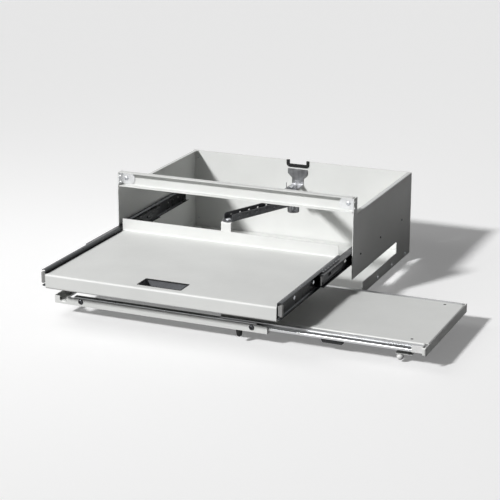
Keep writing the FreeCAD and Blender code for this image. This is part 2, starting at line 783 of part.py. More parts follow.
def rear_hangers():
    under = tray_top - sheet
    path = [(tray_rear - fold, under), (carrier_rear, under), (carrier_rear, carrier_bottom + 2 * sheet)]
    face = strip(path, sheet, bend)
    pieces = []
    for x in (-rear_hanger_spread / 2, rear_hanger_spread / 2):
        pieces.append(along_x(face, x - rear_hanger_width / 2, x + rear_hanger_width / 2))
    return pieces


# Cable arm: a bracket behind the tray, two slotted links and a slotted foot on the back wall.
def arm_tray_bracket():
    path = [(tray_rear + arm_bracket_depth, arm_bracket_top), (tray_rear, arm_bracket_top),
            (tray_rear, tray_top + rear_lip - arm_bracket_overlap)]
    half = arm_bracket_width / 2
    bracket = along_x(strip(path, arm_plate, bend), arm_x - half, arm_x + half)
    base = Vector(arm_x, arm_tray_pivot, arm_bracket_top - arm_plate)
    return bracket.cut(rod(base, Vector(0, 0, 1), arm_pin_radius + arm_pin_play, arm_plate))


# Way of the arm's end along its slot when this share of the drawer's travel is closed.
def arm_shift(share):
    angle = arm_angle_out - share * (arm_angle_out - arm_angle_in)
    return 2 * (link_length * math.sin(angle) - arm_half_span) + share * slide_travel


def arm_wall_bracket():
    foot_top = rear_link_z - seat
    shifts = [arm_shift(i / arm_samples) for i in range(arm_samples + 1)]
    front = arm_wall_pivot + min(shifts) - arm_pin_head_radius - 2 * arm_plate
    stem = wall_bracket_stem / 2
    flare = wall_bracket_flare / 2
    path = [(front, foot_top - arm_plate), (back_face, foot_top - arm_plate),
            (back_face, foot_top + link_height)]
    bracket = along_x(strip(path, arm_plate, bend), arm_x - stem, arm_x + stem)
    waist = foot_top + link_height - arm_plate
    neck = waist + flare - stem
    corners = [(arm_x - stem, waist, 0), (arm_x + stem, waist, 0), (arm_x + stem, waist + arm_plate, bend),
               (arm_x + flare, neck + arm_plate, bend), (arm_x + flare, wall_bracket_top, bend),
               (arm_x - flare, wall_bracket_top, bend), (arm_x - flare, neck + arm_plate, bend),
               (arm_x - stem, waist + arm_plate, bend)]
    bracket = bracket.fuse(along_y(outline(corners), back_face - arm_plate, back_face)).removeSplitter()
    width = 2 * (arm_pin_radius + arm_pin_play)
    middle = arm_wall_pivot + (max(shifts) + min(shifts)) / 2
    way = slot(middle, -arm_x, max(shifts) - min(shifts) + width + 2 * seat, width)
    cutter = along_z(way, foot_top - 2 * arm_plate, foot_top + arm_plate)
    cutter.rotate(Vector(0, 0, 0), Vector(0, 0, 1), 90)
    return bracket.cut(cutter)


# Link lying along X from its first pivot, with slots for cable ties in both side walls.
def arm_link(angle):
    half = link_width / 2
    path = [(-half, link_height), (-half, 0), (half, 0), (half, link_height)]
    link = along_x(strip(path, link_sheet, rail_bend), 0, link_length)
    side = outline([(0, 0, 0), (link_length, 0, 0), (link_length, link_height, link_end_round),
                    (0, link_height, link_end_round)])
    link = link.common(along_y(side, -half, half))
    tongue = rounded((-half, link_length + half), (-half, half), half - rail_bend)
    link = link.fuse(along_z(tongue, 0, link_sheet)).removeSplitter()
    span = link_length - 2 * link_slot_margin - link_slot_length
    count = int(span // link_slot_pitch)
    cuts = []
    for i in range(count + 1):
        x = link_length / 2 + (i - count / 2) * link_slot_pitch
        cuts.append(along_y(slot(x, link_slot_rise, link_slot_length, link_slot_width), -half, half))
    for x in (0, link_length):
        cuts.append(rod(Vector(x, 0, 0), Vector(0, 0, 1), arm_pin_radius + arm_pin_play, link_sheet))
    link = link.cut(cuts)
    link.rotate(Vector(0, 0, 0), Vector(0, 0, 1), angle)
    return link


def front_arm_link():
    link = arm_link(math.degrees(arm_angle_out))
    link.translate(Vector(arm_x, arm_tray_pivot, front_link_z))
    return link


def rear_arm_link():
    link = arm_link(180 - math.degrees(arm_angle_out))
    link.translate(elbow(rear_link_z))
    return link


def elbow(z):
    return Vector(arm_x + arm_elbow_reach, arm_tray_pivot + arm_half_span, z)


# Pivot pin: head, plain shank and the clip under it, turning with its link.
def pivot_pin(x, y, head_seat, shank_end, clip_top):
    pin = fastener(Vector(x, y, head_seat), Vector(0, 0, -1), arm_pin_head_radius, arm_pin_head_height,
                   arm_pin_radius, head_seat - shank_end)
    clip = rod(Vector(x, y, shank_end), Vector(0, 0, 1), arm_pin_head_radius - sheet, clip_top - shank_end)
    return pin.fuse(clip).removeSplitter()


def tray_pivot_pin():
    clip_top = arm_bracket_top - arm_plate - seat
    return pivot_pin(arm_x, arm_tray_pivot, front_link_z + link_sheet, clip_top - sheet, clip_top)


def wall_pivot_pin():
    clip_top = rear_link_z - 2 * seat - arm_plate
    return pivot_pin(arm_x, arm_wall_pivot, rear_link_z + link_sheet, clip_top - sheet, clip_top)


def elbow_pin():
    point = elbow(0)
    head_seat = front_link_z + link_sheet + seat
    pin = pivot_pin(point.x, point.y, head_seat, rear_link_z - sheet, rear_link_z)
    low = rear_link_z + link_sheet
    spacer = rod(Vector(point.x, point.y, low), Vector(0, 0, 1), arm_pin_head_radius - sheet,
                 front_link_z - seat - low)
    return pin.fuse(spacer).removeSplitter()


def build():
    right_wall = side_wall()
    wall = back_wall()
    runner = front_runner()
    mouse_slide = front_mouse_slide()
    cap = front_slide_cap()
    pieces = {
        "left_side_wall": mirrored(right_wall),
        "right_side_wall": right_wall.cut(mouse_relief()),
        "back_wall": wall,
        "notch_edging": notch_edging(wall),
        "floor_pan": floor_pan().cut(mouse_relief()),
        "housing_rivets": housing_rivets(),
        "front_rail": front_rail(),
        "rail_screws": rail_screws(),
        "cabinet_rail_screws": cabinet_rail_screws(),
        "drawer_rail_screws": drawer_rail_screws(),
        "front_balls": balls(False),
        "rear_balls": balls(True),
        "keyboard_tray": keyboard_tray(),
        "grip_cup": grip_cup(),
        "mouse_carrier": mouse_carrier(),
        "carrier_buffer": carrier_buffer(),
        "left_hanger": left_hanger(),
        "rear_hangers": rear_hangers(),
        "front_runner": runner,
        "rear_runner": across_mouse_tray(runner),
        "runner_screws": runner_screws(),
        "mouse_plate": mouse_plate(),
        "front_mouse_slide": mouse_slide,
        "rear_mouse_slide": across_mouse_tray(mouse_slide),
        "front_slide_cap": cap,
        "rear_slide_cap": across_mouse_tray(cap),
        "knob_strip": knob_strip(),
        "pull_knob": pull_knob(),
        "stop_block": stop_block(),
        "arm_tray_bracket": arm_tray_bracket(),
        "arm_wall_bracket": arm_wall_bracket(),
        "front_arm_link": front_arm_link(),
        "rear_arm_link": rear_arm_link(),
        "tray_pivot_pin": tray_pivot_pin(),
        "elbow_pin": elbow_pin(),
        "wall_pivot_pin": wall_pivot_pin(),
    }
    paired = {
        "rail_bracket": rail_bracket(),
        "cabinet_rail": cabinet_rail(),
        "middle_rail": middle_rail(),
        "drawer_rail": drawer_rail(),
        "front_cage": ball_cage(False),
        "rear_cage": ball_cage(True),
        "front_stop": front_stop(),
    }
    for name, shape in paired.items():
        solids = shape if isinstance(shape, list) else [shape]
        pieces["right_" + name] = solids
        pieces["left_" + name] = [mirrored(solid) for solid in solids]
    return pieces


os.makedirs("parts", exist_ok=True)
for name, shape in build().items():
    if isinstance(shape, list):
        shape = Part.Compound(shape)
    shape.exportStep(f"parts/{name}.step")
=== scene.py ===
import math

import bmesh
import bpy
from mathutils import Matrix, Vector


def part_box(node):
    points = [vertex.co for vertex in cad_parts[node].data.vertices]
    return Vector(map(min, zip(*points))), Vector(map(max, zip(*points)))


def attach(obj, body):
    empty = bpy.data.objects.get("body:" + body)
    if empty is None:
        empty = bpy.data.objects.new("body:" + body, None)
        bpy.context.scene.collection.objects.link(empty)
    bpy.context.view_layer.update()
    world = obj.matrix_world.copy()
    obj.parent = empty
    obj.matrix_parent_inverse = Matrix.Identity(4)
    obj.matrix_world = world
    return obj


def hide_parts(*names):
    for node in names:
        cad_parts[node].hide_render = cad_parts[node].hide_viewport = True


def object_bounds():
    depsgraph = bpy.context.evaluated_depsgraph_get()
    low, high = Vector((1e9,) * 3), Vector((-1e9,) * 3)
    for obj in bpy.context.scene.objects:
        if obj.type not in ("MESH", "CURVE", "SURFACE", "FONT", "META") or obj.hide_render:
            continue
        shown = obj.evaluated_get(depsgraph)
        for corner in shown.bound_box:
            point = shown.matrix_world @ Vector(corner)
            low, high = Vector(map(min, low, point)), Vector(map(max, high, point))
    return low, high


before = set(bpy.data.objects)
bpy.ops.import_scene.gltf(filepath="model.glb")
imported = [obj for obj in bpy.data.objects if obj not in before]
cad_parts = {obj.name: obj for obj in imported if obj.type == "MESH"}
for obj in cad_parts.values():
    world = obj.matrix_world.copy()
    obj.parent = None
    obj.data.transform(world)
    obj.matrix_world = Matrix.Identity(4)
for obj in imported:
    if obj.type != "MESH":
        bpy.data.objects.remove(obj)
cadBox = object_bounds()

print("frame loaded:", len(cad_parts), "nodes")

mm = 0.001
mergeGap = 1e-6  # metres; closes the loose triangles of a CAD mesh's copy
creaseAngle = 35  # degrees; steeper edges stay crisp
holeSides = 24


# sRGB hex to the linear colour that the shader sockets take
def paint(hexCode):
    values = [int(hexCode[i:i + 2], 16) / 255 for i in (1, 3, 5)]
    return [v / 12.92 if v <= 0.04045 else ((v + 0.055) / 1.055) ** 2.4 for v in values] + [1.0]


# one node: settings are its properties, inputs its socket values or the sockets that feed it
def addNode(tree, kind, inputs=None, **settings):
    node = tree.nodes.new(kind)
    for key, value in settings.items():
        setattr(node, key, value)
    for key, value in (inputs or {}).items():
        feeds = value if isinstance(value, list) and isinstance(value[0], bpy.types.NodeSocket) else [value]
        for feed in feeds:
            if isinstance(feed, bpy.types.NodeSocket):
                tree.links.new(feed, node.inputs[key])
            else:
                node.inputs[key].default_value = feed
    return node


def startMaterial(name):
    material = bpy.data.materials.new(name)
    material.use_nodes = True
    tree = material.node_tree
    shader = tree.nodes["Principled BSDF"]
    coords = addNode(tree, "ShaderNodeTexCoord").outputs["Object"]
    return material, tree, shader, coords


# two colours over a 0 to 1 value
def twoTone(tree, factor, low, high, start=0.35, end=0.65):
    ramp = addNode(tree, "ShaderNodeValToRGB", {"Fac": factor})
    for element, place, colour in zip(ramp.color_ramp.elements, (start, end), (low, high)):
        element.position = place
        element.color = paint(colour)
    return ramp.outputs["Color"]


# how far the roughness wanders on each kind of surface, and how deep its relief is in millimetres
glossSpread = {"coat": 0.07, "zinc": 0.08, "moulded": 0.06}
reliefDepth = {"coat": 0.3, "zinc": 0.1, "moulded": 0.15}


# Powder-coated sheet steel: satin and pale, with the slow ripple of melted powder, faint clouds where the
# coat is thicker, and duller patches where hands and sleeves rub it
def powderCoat(name, look):
    material, tree, shader, coords = startMaterial(name)
    clouds = addNode(tree, "ShaderNodeTexNoise", {
        "Vector": coords, "Scale": 1 / (look["cloudSize"] * mm), "Detail": 3.0, "Roughness": 0.5})
    colour = twoTone(tree, clouds.outputs["Fac"], look["shade"], look["colour"], 0.3, 0.7)
    tree.links.new(colour, shader.inputs["Base Color"])
    # the ripple is about 1.5 mm wide on the real coat; it is drawn coarser so that it shows
    ripple = addNode(tree, "ShaderNodeTexNoise", {
        "Vector": coords, "Scale": 1 / (look["rippleSize"] * mm), "Detail": 2.0, "Roughness": 0.6})
    rubbed = addNode(tree, "ShaderNodeTexNoise", {
        "Vector": coords, "Scale": 1 / (look["rubbedSize"] * mm), "Detail": 4.0, "Roughness": 0.7})
    both = addNode(tree, "ShaderNodeMath", {0: ripple.outputs["Fac"], 1: rubbed.outputs["Fac"]},
                   operation="ADD")
    spread = glossSpread["coat"]
    gloss = addNode(tree, "ShaderNodeMapRange", {
        "Value": both.outputs["Value"], "From Min": 0.7, "From Max": 1.3,
        "To Min": look["roughness"] - spread, "To Max": look["roughness"] + spread})
    tree.links.new(gloss.outputs["Result"], shader.inputs["Roughness"])
    relief = addNode(tree, "ShaderNodeBump", {
        "Height": ripple.outputs["Fac"], "Strength": look["rippleStrength"],
        "Distance": reliefDepth["coat"] * mm})
    tree.links.new(relief.outputs["Normal"], shader.inputs["Normal"])
    shader.inputs["IOR"].default_value = look["ior"]
    return material


# Zinc-plated or blackened steel: fine lines along the working direction and cloudy passivation. Away from
# the named height, a finish with bands turns to a lighter colour, a painted highlight where flanges and bent
# edges catch the light
def rolledZinc(name, look):
    material, tree, shader, coords = startMaterial(name)
    stretch = [1 / (look["lineLength"] * mm) if axis == look["lineAxis"] else 1 / (look["lineWidth"] * mm)
               for axis in range(3)]
    lined = addNode(tree, "ShaderNodeMapping", {"Vector": coords, "Scale": stretch})
    # rolling lines are under 0.2 mm wide; they are drawn coarser so that they show
    lines = addNode(tree, "ShaderNodeTexNoise", {
        "Vector": lined.outputs["Vector"], "Scale": 1.0, "Detail": 2.0})
    clouds = addNode(tree, "ShaderNodeTexNoise", {
        "Vector": coords, "Scale": 1 / (look["cloudSize"] * mm), "Detail": 3.0})
    both = addNode(tree, "ShaderNodeMath", {0: lines.outputs["Fac"], 1: clouds.outputs["Fac"]},
                   operation="ADD")
    half = addNode(tree, "ShaderNodeMath", {0: both.outputs["Value"], 1: 0.5}, operation="MULTIPLY")
    colour = twoTone(tree, half.outputs["Value"], look["shade"], look["colour"])
    spread = glossSpread["zinc"]
    gloss = addNode(tree, "ShaderNodeMapRange", {
        "Value": clouds.outputs["Fac"], "From Min": 0.3, "From Max": 0.7,
        "To Min": look["roughness"] - spread, "To Max": look["roughness"] + spread})
    # painted highlight: the colour turns lighter away from the band's middle height
    if "bandMiddle" in look:
        height = addNode(tree, "ShaderNodeSeparateXYZ", {"Vector": coords})
        above = addNode(tree, "ShaderNodeMath", {0: height.outputs["Z"], 1: look["bandMiddle"] * mm},
                        operation="SUBTRACT")
        away = addNode(tree, "ShaderNodeMath", {0: above.outputs["Value"]}, operation="ABSOLUTE")
        band = addNode(tree, "ShaderNodeMapRange", {
            "Value": away.outputs["Value"], "From Min": look["bandStart"] * mm,
            "From Max": look["bandFull"] * mm})
        bright = addNode(tree, "ShaderNodeMix", {
            "Factor": band.outputs["Result"], "A": colour, "B": paint(look["paintedHighlight"])}, data_type="RGBA")
        colour = bright.outputs["Result"]
    tree.links.new(colour, shader.inputs["Base Color"])
    tree.links.new(gloss.outputs["Result"], shader.inputs["Roughness"])
    relief = addNode(tree, "ShaderNodeBump", {
        "Height": lines.outputs["Fac"], "Strength": look["lineStrength"],
        "Distance": reliefDepth["zinc"] * mm})
    tree.links.new(relief.outputs["Normal"], shader.inputs["Normal"])
    shader.inputs["Metallic"].default_value = 1.0
    return material


# Moulded plastic and rubber: even colour with a fine spark-eroded grain
def mouldedGrain(name, look):
    material, tree, shader, coords = startMaterial(name)
    # the grain is about 0.1 mm on the real surface; it is drawn coarser so that it shows
    grain = addNode(tree, "ShaderNodeTexNoise", {
        "Vector": coords, "Scale": 1 / (look["grainSize"] * mm), "Detail": 3.0, "Roughness": 0.65})
    colour = twoTone(tree, grain.outputs["Fac"], look["shade"], look["colour"])
    tree.links.new(colour, shader.inputs["Base Color"])
    relief = addNode(tree, "ShaderNodeBump", {
        "Height": grain.outputs["Fac"], "Strength": look["grainStrength"],
        "Distance": reliefDepth["moulded"] * mm})
    tree.links.new(relief.outputs["Normal"], shader.inputs["Normal"])
    spread = glossSpread["moulded"]
    gloss = addNode(tree, "ShaderNodeMapRange", {
        "Value": grain.outputs["Fac"], "From Min": 0.3, "From Max": 0.7,
        "To Min": look["roughness"] - spread, "To Max": look["roughness"] + spread})
    tree.links.new(gloss.outputs["Result"], shader.inputs["Roughness"])
    shader.inputs["IOR"].default_value = look["ior"]
    return material


# Powder coat: wide pale sheets with a soft sheen and no texture that the eye catches at once
lightGreyCoat = powderCoat("powderCoatedSteelLightGrey", {
    "colour": "#dfe0de", "shade": "#d9dad8", "roughness": 0.5, "ior": 1.5,
    "cloudSize": 90, "rippleSize": 5, "rubbedSize": 40, "rippleStrength": 0.12})
# Slide rails: a base darkened to nearly black as painted shade for the shade the rails lie in, with painted
# highlight bands above and below
slideZinc = rolledZinc("rolledZincSteelSlides", {
    "colour": "#2a2c2e", "shade": "#1f2022", "roughness": 0.3, "lineAxis": 1, "paintedHighlight": "#505254",
    "bandMiddle": 89.25, "bandStart": 11.4, "bandFull": 15.5,
    "lineLength": 120, "lineWidth": 1.5, "cloudSize": 25, "lineStrength": 0.25})
# Stamped cage strip: a duller mid grey that shows between the dark rails
cageZinc = rolledZinc("stampedZincSteelCages", {
    "colour": "#9a9b9d", "shade": "#858688", "roughness": 0.4, "lineAxis": 1,
    "lineLength": 40, "lineWidth": 1.5, "cloudSize": 10, "lineStrength": 0.2})
# Rolled runners of the mouse tray: light metal, with long lines of painted highlight at the bent edges
runnerZinc = rolledZinc("rolledZincSteelRunners", {
    "colour": "#bcbdbe", "shade": "#a2a3a4", "roughness": 0.34, "lineAxis": 0, "paintedHighlight": "#c6c7c8",
    "bandMiddle": 44.5, "bandStart": 7.6, "bandFull": 8.4,
    "lineLength": 160, "lineWidth": 1.5, "cloudSize": 25, "lineStrength": 0.05})
# Bright zinc pressings: small plates that throw back most of the light
bracketZinc = rolledZinc("pressedBrightZincSteel", {
    "colour": "#e6e7e8", "shade": "#d4d5d6", "roughness": 0.32, "lineAxis": 0,
    "lineLength": 40, "lineWidth": 2, "cloudSize": 12, "lineStrength": 0.15})
# Wall bracket of the cable arm: the same pressing, dulled to a middle grey
wallZinc = rolledZinc("pressedZincSteelWallBracket", {
    "colour": "#9c9d9f", "shade": "#848587", "roughness": 0.4, "lineAxis": 2,
    "lineLength": 30, "lineWidth": 4, "cloudSize": 12, "lineStrength": 0.1})
# Links of the cable arm: dark cloudy grey with upright streaks
armZinc = rolledZinc("pressedZincSteelArm", {
    "colour": "#707173", "shade": "#5c5d5f", "roughness": 0.42, "lineAxis": 2,
    "lineLength": 30, "lineWidth": 6, "cloudSize": 14, "lineStrength": 0.15})
# Zinc-plated screws and rivets: bright heads with a sharp glint
screwZinc = rolledZinc("coldHeadedZincSteel", {
    "colour": "#d2d4d7", "shade": "#b4b7bb", "roughness": 0.26, "lineAxis": 2,
    "lineLength": 6, "lineWidth": 3, "cloudSize": 4, "lineStrength": 0.1})
# Blackened screws: dark heads, each with one small glint
screwBlack = rolledZinc("coldHeadedBlackenedSteel", {
    "colour": "#4c4d4f", "shade": "#38393b", "roughness": 0.28, "lineAxis": 2,
    "lineLength": 6, "lineWidth": 3, "cloudSize": 4, "lineStrength": 0.1})
# Bearing balls: lapped almost to a mirror
ballSteel = rolledZinc("lappedBearingSteel", {
    "colour": "#d6d8da", "shade": "#c6c9cc", "roughness": 0.16, "lineAxis": 2,
    "lineLength": 3, "lineWidth": 3, "cloudSize": 5, "lineStrength": 0.05})
# Rubber: matt black that stays black at a flat angle
edgingRubber = mouldedGrain("extrudedEpdmRubber", {
    "colour": "#1b1b1c", "shade": "#121213", "roughness": 0.88, "ior": 1.47,
    "grainSize": 3, "grainStrength": 0.3})
# Moulded ABS: an even dark grey, softly grained
cupPlastic = mouldedGrain("mouldedAbsGrey", {
    "colour": "#626467", "shade": "#56585b", "roughness": 0.5, "ior": 1.54,
    "grainSize": 2.5, "grainStrength": 0.35})
# Glass-filled polyamide: black with a dry sheen
blockPlastic = mouldedGrain("mouldedPolyamideBlack", {
    "colour": "#202123", "shade": "#17181a", "roughness": 0.55, "ior": 1.53,
    "grainSize": 2.5, "grainStrength": 0.3})
# Acetal: clean white with a waxy sheen
whitePlastic = mouldedGrain("mouldedAcetalWhite", {
    "colour": "#e4e4e3", "shade": "#dadad9", "roughness": 0.4, "ior": 1.48,
    "grainSize": 3, "grainStrength": 0.15})
# Tinted acetal: the same waxy sheen in middle grey
greyPlastic = mouldedGrain("mouldedAcetalGrey", {
    "colour": "#949493", "shade": "#878786", "roughness": 0.42, "ior": 1.48,
    "grainSize": 3, "grainStrength": 0.15})
print("materials made")

# which finish each CAD node wears
finishes = {
    lightGreyCoat: ["left_side_wall", "right_side_wall", "back_wall", "floor_pan", "front_rail",
                    "keyboard_tray", "mouse_carrier", "left_hanger", "rear_hangers", "mouse_plate",
                    "arm_tray_bracket", "knob_strip"],
    slideZinc: ["left_cabinet_rail", "right_cabinet_rail", "left_middle_rail", "right_middle_rail",
                "left_drawer_rail", "right_drawer_rail"],
    cageZinc: ["left_front_cage", "right_front_cage", "left_rear_cage", "right_rear_cage"],
    runnerZinc: ["front_runner", "rear_runner", "front_mouse_slide", "rear_mouse_slide"],
    bracketZinc: ["left_rail_bracket", "right_rail_bracket"],
    armZinc: ["front_arm_link", "rear_arm_link"],
    wallZinc: ["arm_wall_bracket"],
    screwZinc: ["rail_screws", "drawer_rail_screws", "housing_rivets", "tray_pivot_pin", "elbow_pin",
                "wall_pivot_pin"],
    screwBlack: ["runner_screws", "cabinet_rail_screws"],
    ballSteel: ["front_balls", "rear_balls"],
    edgingRubber: ["notch_edging", "carrier_buffer"],
    cupPlastic: ["grip_cup"],
    blockPlastic: ["stop_block"],
    whitePlastic: ["front_slide_cap", "rear_slide_cap", "pull_knob"],
    greyPlastic: ["left_front_stop", "right_front_stop"],
}
for material, names in finishes.items():
    for name in names:
        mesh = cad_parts[name].data
        mesh.materials.clear()
        mesh.materials.append(material)
print("finishes given to", sum(len(names) for names in finishes.values()), "nodes")


# a finished mesh as a piece on a body, in the place of the CAD nodes that it stands for
def addPiece(name, mesh, body, nodes):
    mesh.name = name
    mesh.shade_smooth()
    mesh.set_sharp_from_angle(angle=math.radians(creaseAngle))
    piece = bpy.data.objects.new(name, mesh)
    bpy.context.collection.objects.link(piece)
    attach(piece, body)
    if nodes:
        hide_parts(*nodes)
    print(name, "made,", len(mesh.polygons), "faces")


# skin over rings that have equally many points, closed flat at both ends; one finish number for a ring step
def skin(edit, rings, finishNumbers=None):
    rows = [[edit.verts.new(point) for point in ring] for ring in rings]
    edit.faces.new(rows[0][::-1])
    edit.faces.new(rows[-1])
    for step, (lower, upper) in enumerate(zip(rows, rows[1:])):
        for i in range(len(lower)):
            j = (i + 1) % len(lower)
            face = edit.faces.new((lower[i], lower[j], upper[j], upper[i]))
            face.material_index = finishNumbers[step] if finishNumbers else 0


# a mesh from bmesh gets outward faces and its materials
def closeMesh(edit, materials):
    bmesh.ops.recalc_face_normals(edit, faces=edit.faces)
    mesh = bpy.data.meshes.new("skin")
    edit.to_mesh(mesh)
    edit.free()
    for material in materials:
        mesh.materials.append(material)
    return mesh


# points around a rectangle with round corners, two numbers each
def roundedOutline(low, high, radius, steps):
    corners = ((high[0] - radius, high[1] - radius), (low[0] + radius, high[1] - radius),
               (low[0] + radius, low[1] + radius), (high[0] - radius, low[1] + radius))
    points = []
    for quarter, (a, b) in enumerate(corners):
        for step in range(steps + 1):
            angle = (quarter + step / steps) * math.pi / 2
            points.append((a + radius * math.cos(angle), b + radius * math.sin(angle)))
    return points


# block along Y with round long edges and softened ends
def softBlock(edit, low, high, radius, edge, steps=4):
    rings = []
    for inset, y in ((edge, low[1]), (0, low[1] + edge), (0, high[1] - edge), (edge, high[1])):
        points = roundedOutline((low[0] + inset, low[2] + inset), (high[0] - inset, high[2] - inset),
                                radius, steps)
        rings.append([Vector((x, y, z)) for x, z in points])
    skin(edit, rings)


# a merged copy of a CAD node's mesh, for editing
def mergedCopy(node):
    copy = bmesh.new()
    copy.from_mesh(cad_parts[node].data)
    bmesh.ops.remove_doubles(copy, verts=copy.verts, dist=mergeGap)
    return copy


# Grip cup: a moulded pan under the tray, with a black bezel that stands up through the cut-out
gripCup = {"flange": 6.0, "cornerRadius": 3.0, "wall": 1.2, "draft": 0.8, "floorRadius": 4.0, "tray": 1.5,
           "clearance": 0.15, "bezel": 3.0, "bezelRise": 0.25, "edge": 0.3, "leastRadius": 1.0,
           "cornerSteps": 6, "filletSteps": 4}


# outline of the cup at a height, so far in from the flange's edge
def cupRing(inset, height):
    low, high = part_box("grip_cup")
    radius = max(gripCup["cornerRadius"] + gripCup["flange"] - inset, gripCup["leastRadius"]) * mm
    inset *= mm
    points = roundedOutline((low.x + inset, low.y + inset), (high.x - inset, high.y - inset), radius,
                            gripCup["cornerSteps"])
    return [Vector((x, y, height)) for x, y in points]


# the profile runs from the middle of the underside, round the flange and the bezel, to the middle inside
def makeGripCup():
    low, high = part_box("grip_cup")
    top = high.z
    edge = gripCup["edge"]
    tray = gripCup["tray"]
    under = -gripCup["wall"]
    wall = gripCup["flange"] - gripCup["wall"]
    bezelOut = gripCup["flange"] + gripCup["clearance"]
    bezelIn = bezelOut + gripCup["bezel"]
    bezelTop = tray + gripCup["bezelRise"]
    outer = wall + gripCup["draft"]
    inner = bezelIn + gripCup["draft"]
    floor = low.z + gripCup["wall"] * mm
    bend = gripCup["floorRadius"]
    turns = [math.pi / 2 * i / gripCup["filletSteps"] for i in range(gripCup["filletSteps"] + 1)]
    profile = [(outer + bend * (1 - math.sin(t)), low.z + bend * (1 - math.cos(t)) * mm, 0) for t in turns]
    profile += [(inset, top + rise * mm, number) for inset, rise, number in (
        (wall, under, 0), (edge, under, 0), (0, under + edge, 0), (0, -2 * edge, 0), (edge, -edge / 2, 0),
        (bezelOut, -edge / 2, 1), (bezelOut, tray, 1), (bezelOut + edge, bezelTop, 1),
        (bezelIn - edge, bezelTop, 1), (bezelIn, tray, 1), (bezelIn, -edge, 0))]
    profile += [(inner + bend * (1 - math.cos(t)), floor + bend * (1 - math.sin(t)) * mm, 0) for t in turns]
    edit = bmesh.new()
    skin(edit, [cupRing(inset, height) for inset, height, number in profile],
         [number for *place, number in profile])
    mesh = closeMesh(edit, [cupPlastic, edgingRubber])
    addPiece("gripCupMoulding", mesh, "drawer", ["grip_cup"])


makeGripCup()

roundSegments = 40


# a round piece about the middle of its CAD box, from (radius, height) pairs with the free end first
def turned(name, body, node, material, profile):
    low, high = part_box(node)
    middle = (low + high) / 2
    angles = [math.tau * i / roundSegments for i in range(roundSegments)]
    edit = bmesh.new()
    skin(edit, [[Vector((middle.x + radius * math.cos(a), middle.y + radius * math.sin(a), height))
                 for a in angles] for radius, height in profile])
    addPiece(name, closeMesh(edit, [material]), body, [node])


# Pull knob: a ball on a waisted neck with a collar against its strip; neck and collar are shares of the ball
pullKnob = {"neck": 0.54, "collar": 0.8, "collarHeight": 1.6, "waist": 0.6, "edge": 0.4, "rim": 0.3,
            "tipAngle": 0.12, "ballSteps": 24}


def makePullKnob():
    low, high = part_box("pull_knob")
    ball = (high.x - low.x) / 2
    neck = ball * pullKnob["neck"]
    collar = ball * pullKnob["collar"]
    start = pullKnob["tipAngle"]
    stop = math.pi - math.asin(pullKnob["neck"])
    steps = pullKnob["ballSteps"]
    angles = [start + (stop - start) * i / steps for i in range(steps + 1)]
    profile = [(ball * math.sin(a), low.z + ball * (1 - math.cos(a))) for a in angles]
    under = high.z - pullKnob["collarHeight"] * mm
    edge = pullKnob["edge"] * mm
    rim = pullKnob["rim"] * mm
    profile += [(neck, under - pullKnob["waist"] * mm), (collar - edge, under), (collar, under + edge),
                (collar, high.z - rim), (collar - rim, high.z)]
    turned("pullKnobBall", "mouse_tray", "pull_knob", whitePlastic, profile)


# Rubber buffer: a foot that tapers to a domed tip, with a band under the carrier and a stud through it; foot
# and shoulder are shares of the band, the dome's height is a share of the foot
rubberBuffer = {"foot": 0.78, "dome": 0.95, "shoulder": 0.9, "shoulderDrop": 0.8, "bandHeight": 2.5,
                "edge": 0.4, "rim": 0.3, "stud": 2.0, "tipShare": 0.1, "domeSteps": 8}


def makeBuffer():
    low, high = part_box("carrier_buffer")
    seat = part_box("mouse_carrier")[0].z
    wide = (high.x - low.x) / 2
    foot = wide * rubberBuffer["foot"]
    tip = rubberBuffer["tipShare"]
    steps = rubberBuffer["domeSteps"]
    angles = [math.pi / 2 * (tip + (1 - tip) * i / steps) for i in range(steps + 1)]
    profile = [(foot * math.sin(a), low.z + foot * rubberBuffer["dome"] * (1 - math.cos(a))) for a in angles]
    band = seat - rubberBuffer["bandHeight"] * mm
    edge = rubberBuffer["edge"] * mm
    rim = rubberBuffer["rim"] * mm
    stud = rubberBuffer["stud"] * mm
    profile += [(wide * rubberBuffer["shoulder"], band - rubberBuffer["shoulderDrop"] * mm),
                (wide - edge, band), (wide, band + edge), (wide, seat - rim), (wide - rim, seat),
                (stud, seat), (stud, high.z)]
    turned("carrierBufferFoot", "drawer", "carrier_buffer", edgingRubber, profile)


makePullKnob()
makeBuffer()

# Slide cap: two lobes with a groove between them on a plate, and a plug in the slide's end; lobe is a share
slideCap = {"plate": 0.6, "lobe": 0.47, "face": 1.5, "plugFloor": 5.2, "plugTop": 1.2, "plugSide": 1.0,
            "radius": 1.0, "edge": 0.4}


def makeSlideCap(name, node, outward):
    low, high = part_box(node)
    look = {key: value * mm for key, value in slideCap.items()}
    face, plug = (low.y, high.y) if outward < 0 else (high.y, low.y)
    split = low.x + (high.x - low.x) * slideCap["lobe"]
    groove = face - outward * (look["face"] - look["plate"])
    back = face - outward * look["face"]
    blocks = [((low.x, face, low.z), (split, groove, high.z)),
              ((split, face, low.z), (high.x, groove, high.z)),
              ((low.x, groove, low.z), (high.x, back, high.z)),
              ((low.x, back, low.z + look["plugFloor"]),
               (high.x - look["plugSide"], plug, high.z - look["plugTop"]))]
    edit = bmesh.new()
    for start, end in blocks:
        front, rear = sorted((start[1], end[1]))
        edge = min(look["edge"], (rear - front) / 3)
        softBlock(edit, (start[0], front, start[2]), (end[0], rear, end[2]), look["radius"], edge)
    addPiece(name, closeMesh(edit, [whitePlastic]), "mouse_tray", [node])


# Front stop: a rounded bar in the drawer rail's mouth, on a flat foot against its web
frontStop = {"width": 6.0, "radius": 1.5, "edge": 0.8, "setback": 0.5, "footInset": 1.5, "footEdge": 0.4}


